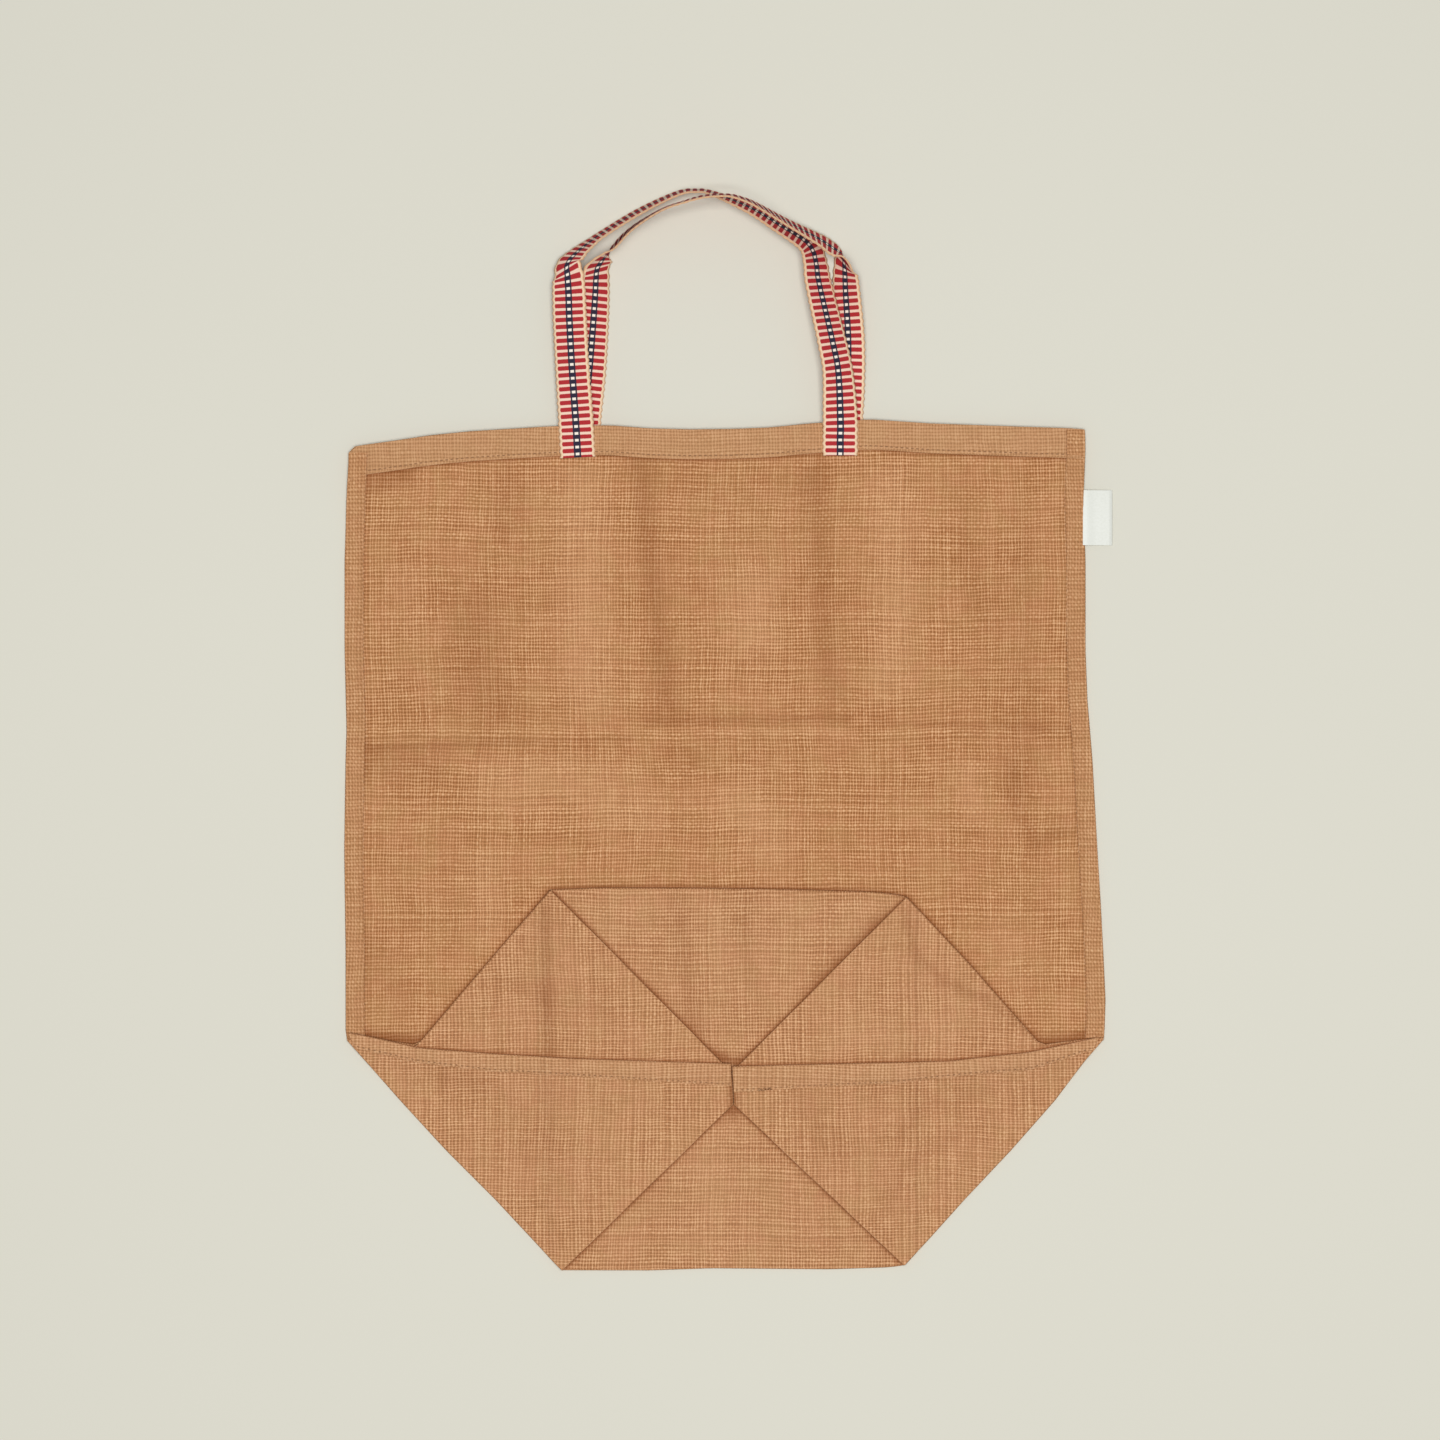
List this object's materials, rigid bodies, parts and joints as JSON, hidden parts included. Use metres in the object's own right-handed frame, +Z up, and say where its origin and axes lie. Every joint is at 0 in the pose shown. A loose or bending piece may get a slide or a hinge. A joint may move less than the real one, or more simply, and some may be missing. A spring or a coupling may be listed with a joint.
{
  "type": "produce bag",
  "caption": "Open-weave cloth shopping bag lying folded flat with a block-bottom base, with narrow woven tape loop handles and a small side label.",
  "frame": {"origin": "point on the flat underside of the lying bag, in line with the middle of the handles and about halfway up the cloth", "axes": "+Z up out of the surface that the bag lies on, +Y from the folded base towards the mouth and handles, +X to the right seen from above, towards the label"},
  "size_m": [0.3996, 0.5632, 0.0399],
  "materials": {
    "open_weave_cloth": "matt open plain weave, dyed tan",
    "woven_tape": "ribbed woven tape, red and cream bars with a dark dotted middle",
    "satin_label": "smooth off-white satin, bare"
  },
  "bodies": {
    "root": {"bag_body": "open_weave_cloth", "handle_front": "woven_tape", "handle_back": "woven_tape", "label": "satin_label"}
  },
  "joints": []
}
